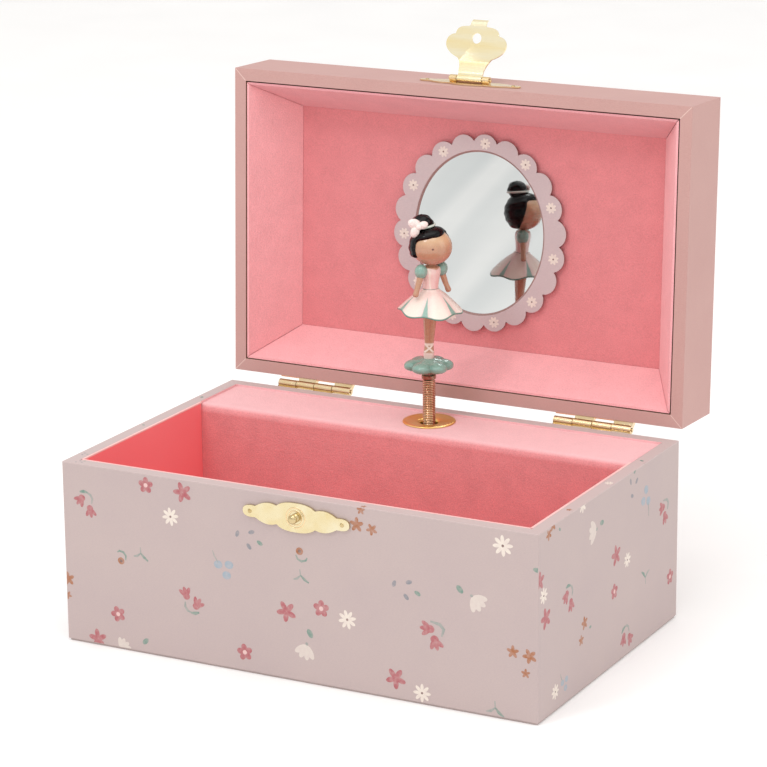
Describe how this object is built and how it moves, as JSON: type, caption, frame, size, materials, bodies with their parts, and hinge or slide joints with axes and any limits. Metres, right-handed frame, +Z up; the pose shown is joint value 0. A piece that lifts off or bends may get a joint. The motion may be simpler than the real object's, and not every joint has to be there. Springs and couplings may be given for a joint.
{
  "type": "ballerina jewellery box",
  "caption": "Paper-covered musical jewellery box, open: velvet lining, lid with oval mirror, brass hinges, hasp and clasp, and a small dancer turning on a coil spring.",
  "frame": {"origin": "centre of the base's flat underside", "axes": "+X to the right seen from the front, +Y towards the hinged back, +Z up; the lid stands open"},
  "size_m": [0.18, 0.1516, 0.2028],
  "materials": {
    "printed_paper": "matt printed paper, scattered small flowers",
    "lid_paper": "matt dusty rose paper",
    "fibreboard": "raw fibreboard",
    "coral_lining": "smooth coral paper",
    "velvet": "short rose velvet",
    "pale_velvet": "short pale pink velvet",
    "pale_brass": "bright pale brass plate",
    "gold_brass": "polished yellow brass",
    "steel": "plain steel",
    "copper_spring": "copper-coloured spring wire",
    "mirror_silver": "silvered glass",
    "frame_card": "matt printed card",
    "green_resin": "glossy painted resin",
    "pale_resin": "glossy painted resin",
    "skin_resin": "glossy painted resin",
    "hair_resin": "glossy black painted resin"
  },
  "bodies": {
    "base": {"base_front_board": "fibreboard", "base_back_board": "fibreboard", "base_left_board": "fibreboard", "base_right_board": "fibreboard", "base_bottom_board": "fibreboard", "underside_paper": "fibreboard", "base_paper_wrap": "printed_paper", "floor_lining": "velvet", "lining_front": "coral_lining", "lining_left": "coral_lining", "lining_right": "coral_lining", "partition_board": "fibreboard", "deck_board": "fibreboard", "velvet_cover": "pale_velvet", "escutcheon_ring": "gold_brass", "clasp_plate": "pale_brass", "clasp_knob": "pale_brass", "hinge_left_base_leaf": "pale_brass", "hinge_left_pin": "pale_brass", "hinge_right_base_leaf": "pale_brass", "hinge_right_pin": "pale_brass", "movement_bedplate": "gold_brass", "governor_frame": "gold_brass", "movement_comb": "steel", "key_collar": "pale_brass", "coil_spring": "copper_spring"},
    "lid": {"lid_top_board": "fibreboard", "lid_front_board": "fibreboard", "lid_back_board": "fibreboard", "lid_left_board": "fibreboard", "lid_right_board": "fibreboard", "lid_paper_wrap": "lid_paper", "lid_lining_front": "velvet", "lid_lining_back": "velvet", "lid_lining_left": "velvet", "lid_lining_right": "velvet", "lid_lining_panel": "velvet", "mirror_glass": "mirror_silver", "mirror_frame": "frame_card", "hinge_left_lid_leaf": "pale_brass", "hinge_right_lid_leaf": "pale_brass", "hasp_plate": "pale_brass", "hasp_pin": "pale_brass"},
    "hasp": {"hasp": "pale_brass"},
    "cylinder": {"music_cylinder": "gold_brass"},
    "barrel": {"spring_barrel": "gold_brass"},
    "idler": {"idler_wheel": "gold_brass"},
    "governor": {"governor_fly": "steel"},
    "stop_lever": {"stop_lever": "steel"},
    "key": {"winding_arbor": "steel", "winding_key": "pale_brass"},
    "spring_head": {"spring_top_cup": "copper_spring"},
    "dancer": {"dancer_flower_base": "green_resin", "dancer_body": "pale_resin", "dancer_head": "skin_resin", "dancer_hair": "hair_resin", "dancer_bow": "pale_resin"}
  },
  "joints": [
    {"name": "lid_hinge", "type": "hinge", "parent": "base", "child": "lid", "pos_m": [0, 0.0603, 0.0656], "axis": [1, 0, 0], "range_deg": [0, 92.3]},
    {"name": "hasp_hinge", "type": "hinge", "parent": "lid", "child": "hasp", "pos_m": [0.002, 0.07222, 0.18297], "axis": [1, 0, 0], "range_deg": [-61, 104]},
    {"name": "spring_bend", "type": "hinge", "parent": "base", "child": "spring_head", "pos_m": [0, 0.0428, 0.075], "axis": [1, 0, 0], "range_deg": [0, 98], "deforming": ["coil_spring"]},
    {"name": "dancer_spin", "type": "hinge", "parent": "spring_head", "child": "dancer", "pos_m": [0, 0.0428, 0.082], "axis": [0, 0, 1], "continuous": true},
    {"name": "cylinder_spin", "type": "hinge", "parent": "base", "child": "cylinder", "pos_m": [0, 0.0428, 0.045], "axis": [0, 0, 1], "continuous": true},
    {"name": "barrel_spin", "type": "hinge", "parent": "base", "child": "barrel", "pos_m": [0, 0.0428, 0.0175], "axis": [0, 1, 0], "continuous": true},
    {"name": "idler_spin", "type": "hinge", "parent": "base", "child": "idler", "pos_m": [0.0108, 0.0428, 0.031], "axis": [0, 0, 1], "continuous": true},
    {"name": "governor_spin", "type": "hinge", "parent": "base", "child": "governor", "pos_m": [0.0192, 0.0428, 0.02995], "axis": [0, 1, 0], "continuous": true},
    {"name": "stop_lever_swing", "type": "hinge", "parent": "base", "child": "stop_lever", "pos_m": [0.0272, 0.042, 0.0407], "axis": [0, 1, 0], "range_deg": [0, 9.2]},
    {"name": "key_wind", "type": "hinge", "parent": "base", "child": "key", "pos_m": [0, 0.06, 0.0175], "axis": [0, 1, 0], "continuous": true}
  ],
  "couplings": [
    {"joint": "spring_bend", "follows": "lid_hinge", "ratio": 1.06},
    {"joint": "stop_lever_swing", "follows": "lid_hinge", "ratio": 0.098},
    {"joint": "dancer_spin", "follows": "cylinder_spin", "ratio": 1},
    {"joint": "barrel_spin", "follows": "cylinder_spin", "ratio": 0.31579},
    {"joint": "idler_spin", "follows": "cylinder_spin", "ratio": -3.3333},
    {"joint": "governor_spin", "follows": "cylinder_spin", "ratio": 40}
  ]
}
